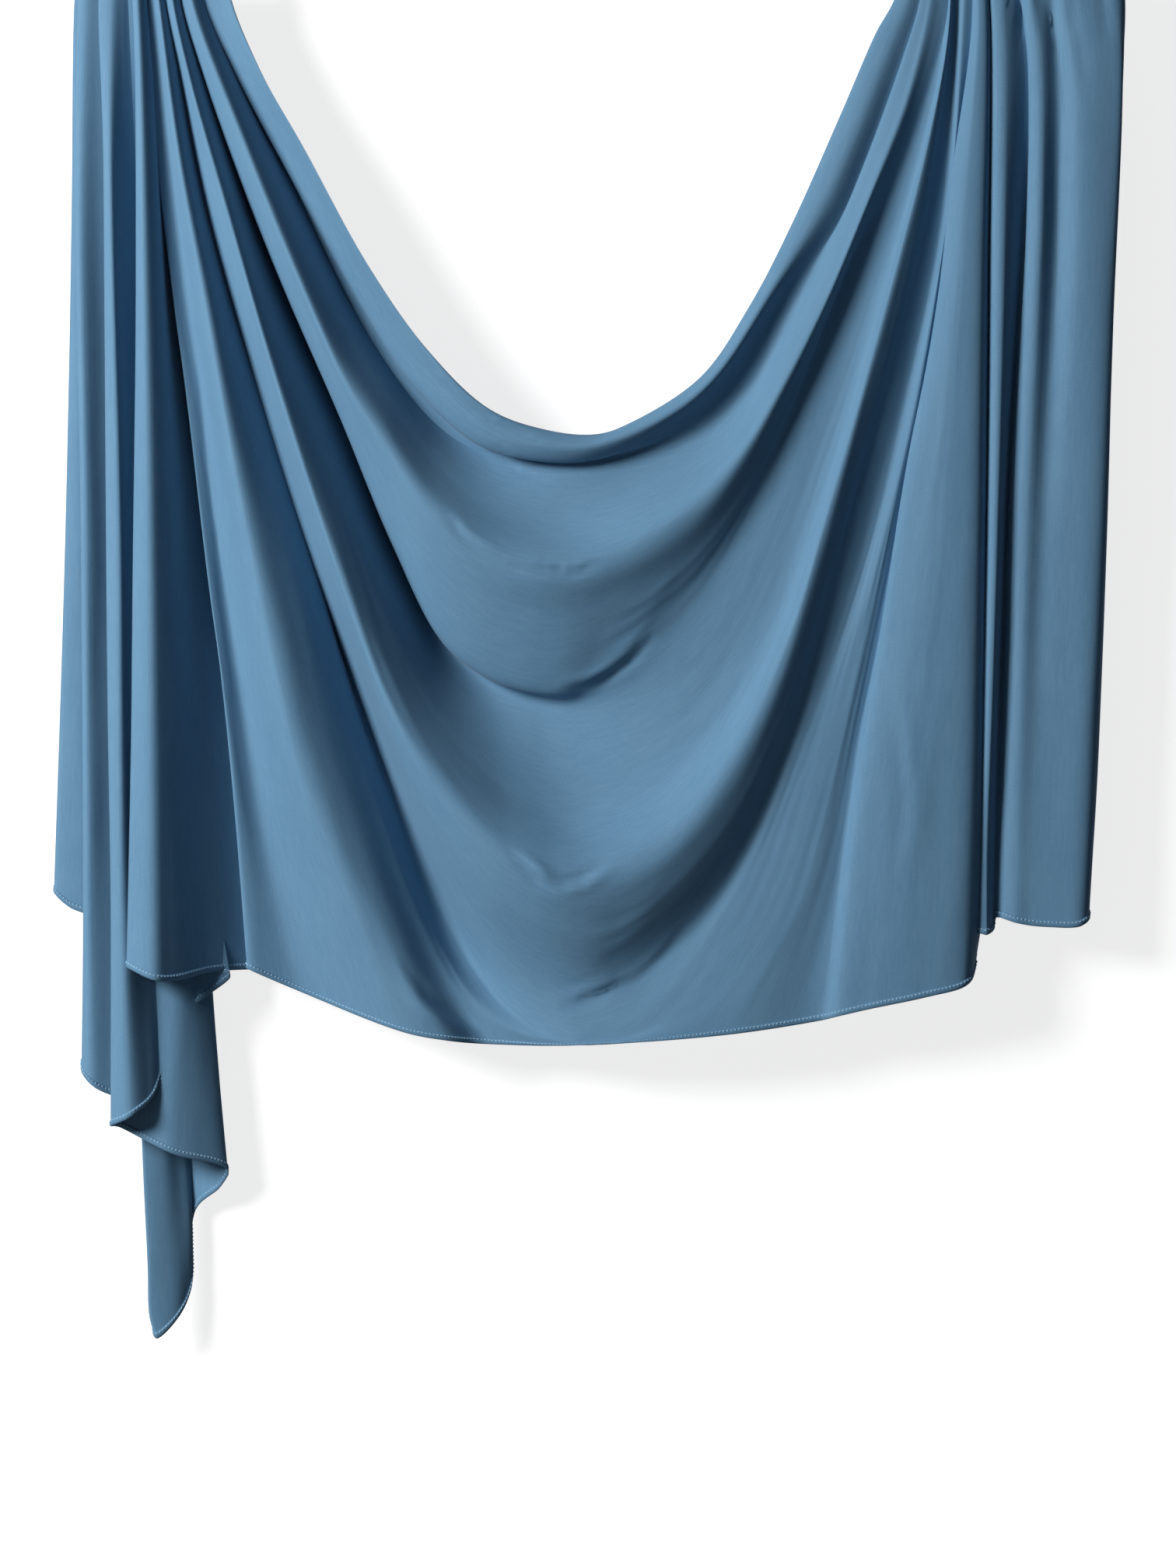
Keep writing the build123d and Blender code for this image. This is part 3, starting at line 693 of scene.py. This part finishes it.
def makeJersey():     # fine viscose jersey: a matt knit, flecked yarn, soft sheen at a glancing view
    fabric = bpy.data.materials.new("viscoseJersey")
    fabric.use_nodes = True
    tree = fabric.node_tree
    shader = tree.nodes["Principled BSDF"]
    layout = addNode(tree, "ShaderNodeUVMap")
    layout.uv_map = "flatCut"
    place = addNode(tree, "ShaderNodeMapping", {"Scale": (1000, 1000, 1000)}, {"Vector": layout.outputs[0]})
    yarn = addNode(tree, "ShaderNodeMapping",
                   {"Scale": (1 / clothLook["streakMm"], clothLook["streakStretch"], 1.0)},
                   {"Vector": place.outputs[0]})
    grain = addNode(tree, "ShaderNodeTexNoise",
                    {"Scale": 1 / clothLook["grainMm"], "Detail": 2.0, "Roughness": 0.6},
                    {"Vector": place.outputs[0]})
    streak = addNode(tree, "ShaderNodeTexNoise", {"Scale": 1.0, "Detail": 3.0, "Roughness": 0.55},
                     {"Vector": yarn.outputs[0]})
    blotch = addNode(tree, "ShaderNodeTexNoise", {"Scale": 1 / clothLook["blotchMm"], "Detail": 4.0},
                     {"Vector": place.outputs[0]})
    speckle = addNode(tree, "ShaderNodeMapRange", {"From Min": 0.25, "From Max": 0.75},
                      {"Value": grain.outputs[0]})
    wash = addNode(tree, "ShaderNodeMapRange", {"From Min": 0.3, "From Max": 0.7, "To Max": 0.6},
                   {"Value": blotch.outputs[0]})
    lines = addNode(tree, "ShaderNodeMapRange", {"From Min": 0.3, "From Max": 0.7, "To Max": 0.22},
                    {"Value": streak.outputs[0]})
    flecked = addNode(tree, "ShaderNodeMixRGB",
                      {"Color1": linear(clothLook["fleck"]), "Color2": linear(clothLook["colour"])},
                      {"Fac": speckle.outputs[0]})
    washed = addNode(tree, "ShaderNodeMixRGB", {"Color2": linear(clothLook["colour"])},
                     {"Fac": wash.outputs[0], "Color1": flecked.outputs[0]})
    streaked = addNode(tree, "ShaderNodeMixRGB", {"Color2": linear(clothLook["pale"])},
                       {"Fac": lines.outputs[0], "Color1": washed.outputs[0]})
    tree.links.new(streaked.outputs[0], shader.inputs["Base Color"])
    relief = addNode(tree, "ShaderNodeBump",
                     {"Strength": clothLook["grainStrength"], "Distance": clothLook["grainDepth"]},
                     {"Height": grain.outputs[0]})
    tree.links.new(relief.outputs[0], shader.inputs["Normal"])
    shader.inputs["Roughness"].default_value = clothLook["roughness"]
    shader.inputs["Specular IOR Level"].default_value = clothLook["specular"]
    shader.inputs["Sheen Weight"].default_value = clothLook["sheen"]
    shader.inputs["Sheen Roughness"].default_value = clothLook["sheenRoughness"]
    shader.inputs["Sheen Tint"].default_value = clothLook["sheenTint"]
    return fabric


def makeThread():     # spun polyester thread, a shade lighter than the cloth
    thread = bpy.data.materials.new("spunPolyesterThread")
    thread.use_nodes = True
    shader = thread.node_tree.nodes["Principled BSDF"]
    shader.inputs["Base Color"].default_value = linear(threadLook["colour"])
    shader.inputs["Roughness"].default_value = threadLook["roughness"]
    return thread


jersey, thread = makeJersey(), makeThread()
for piece in [cloth, *hems.values()]:
    piece.data.materials.append(jersey)
stitches.data.materials.append(thread)

print("stage: floor, backdrop, lamps, camera")
viewSet = {"distance": 3.0, "lookX": 0.2805, "lookZ": -0.529, "frameHeight": 1.008}     # all in metres
lamps = {
    "keyLamp": {"place": (-2.10, -1.95, 0.60), "target": (0.28, 0, -0.45), "size": 1.1, "power": 129},
    "topLamp": {"place": (0.1, -1.0, 1.9), "target": (0.28, 0, -0.5), "size": 1.4, "power": 4},
}
roomLight = {"colour": (0.27, 0.5, 1, 1), "strength": 0.037}     # bluish, as the shaded folds are
stageSet = {
    "size": 6,
    "wallY": 0.0235,          # the wall stands close behind the cloth
    "floorZ": -1.25,
    "paint": 0.46,            # how light the paint is
    "lift": 0.8,              # glow that takes the lit paint to white
    "bounce": 0.3,            # share of the paint's light that reaches the cloth
}


def makeWhite(name):     # matt paint that the camera sees lifted to white, with the shadows kept
    paint = bpy.data.materials.new(name)
    paint.use_nodes = True
    tree = paint.node_tree
    tree.nodes.clear()
    grey = stageSet["paint"]
    dimmed = stageSet["bounce"] * grey
    out = addNode(tree, "ShaderNodeOutputMaterial")
    diffuse = addNode(tree, "ShaderNodeBsdfDiffuse", {"Color": (grey, grey, grey, 1)})
    dim = addNode(tree, "ShaderNodeBsdfDiffuse", {"Color": (dimmed, dimmed, dimmed, 1)})
    lift = addNode(tree, "ShaderNodeEmission", {"Strength": stageSet["lift"]})
    both = tree.nodes.new("ShaderNodeAddShader")
    tree.links.new(diffuse.outputs[0], both.inputs[0])
    tree.links.new(lift.outputs[0], both.inputs[1])
    path = tree.nodes.new("ShaderNodeLightPath")
    indirect = tree.nodes.new("ShaderNodeMath")
    indirect.operation = "MAXIMUM"
    tree.links.new(path.outputs["Is Glossy Ray"], indirect.inputs[0])
    tree.links.new(path.outputs["Is Transmission Ray"], indirect.inputs[1])
    seen = tree.nodes.new("ShaderNodeMath")
    seen.operation = "MAXIMUM"
    tree.links.new(path.outputs["Is Camera Ray"], seen.inputs[0])
    tree.links.new(indirect.outputs[0], seen.inputs[1])
    pick = addNode(tree, "ShaderNodeMixShader", {}, {"Fac": seen.outputs[0]})
    tree.links.new(dim.outputs[0], pick.inputs[1])
    tree.links.new(both.outputs[0], pick.inputs[2])
    geometry = tree.nodes.new("ShaderNodeNewGeometry")
    clear = tree.nodes.new("ShaderNodeBsdfTransparent")
    oneSided = addNode(tree, "ShaderNodeMixShader", {}, {"Fac": geometry.outputs["Backfacing"]})
    tree.links.new(pick.outputs[0], oneSided.inputs[1])
    tree.links.new(clear.outputs[0], oneSided.inputs[2])
    tree.links.new(oneSided.outputs[0], out.inputs["Surface"])
    return paint


def addPlane(name, place, turn, paintName):
    bpy.ops.mesh.primitive_plane_add(size=stageSet["size"], location=place, rotation=turn)
    plane = bpy.context.object
    plane.name = name
    plane.data.materials.append(makeWhite(paintName))


addPlane("backdrop", (0.28, stageSet["wallY"], -0.5), (math.radians(90), 0, 0), "paintedWall")
addPlane("floor", (0.28, stageSet["wallY"] - stageSet["size"] / 2, stageSet["floorZ"]), (0, 0, 0),
         "paintedFloor")

cameraData = bpy.data.cameras.new("camera")
camera = bpy.data.objects.new("camera", cameraData)
bpy.context.scene.collection.objects.link(camera)
camera.location = (viewSet["lookX"], -viewSet["distance"], viewSet["lookZ"])
camera.rotation_euler = (math.radians(90), 0, 0)
cameraData.sensor_fit = "VERTICAL"
cameraData.sensor_height = 36
cameraData.lens = cameraData.sensor_height * viewSet["distance"] / viewSet["frameHeight"]
bpy.context.scene.camera = camera


def addLamp(name, lamp):
    data = bpy.data.lights.new(name, "AREA")
    data.shape = "DISK"
    data.size = lamp["size"]
    data.energy = lamp["power"]
    light = bpy.data.objects.new(name, data)
    bpy.context.scene.collection.objects.link(light)
    light.location = lamp["place"]
    aim = Vector(lamp["target"]) - Vector(lamp["place"])
    light.rotation_euler = aim.to_track_quat("-Z", "Y").to_euler()


for name, lamp in lamps.items():
    addLamp(name, lamp)
world = bpy.data.worlds.new("studio")
bpy.context.scene.world = world
world.use_nodes = True
world.node_tree.nodes["Background"].inputs["Color"].default_value = roomLight["colour"]
world.node_tree.nodes["Background"].inputs["Strength"].default_value = roomLight["strength"]
bpy.context.scene.view_settings.view_transform = "Standard"
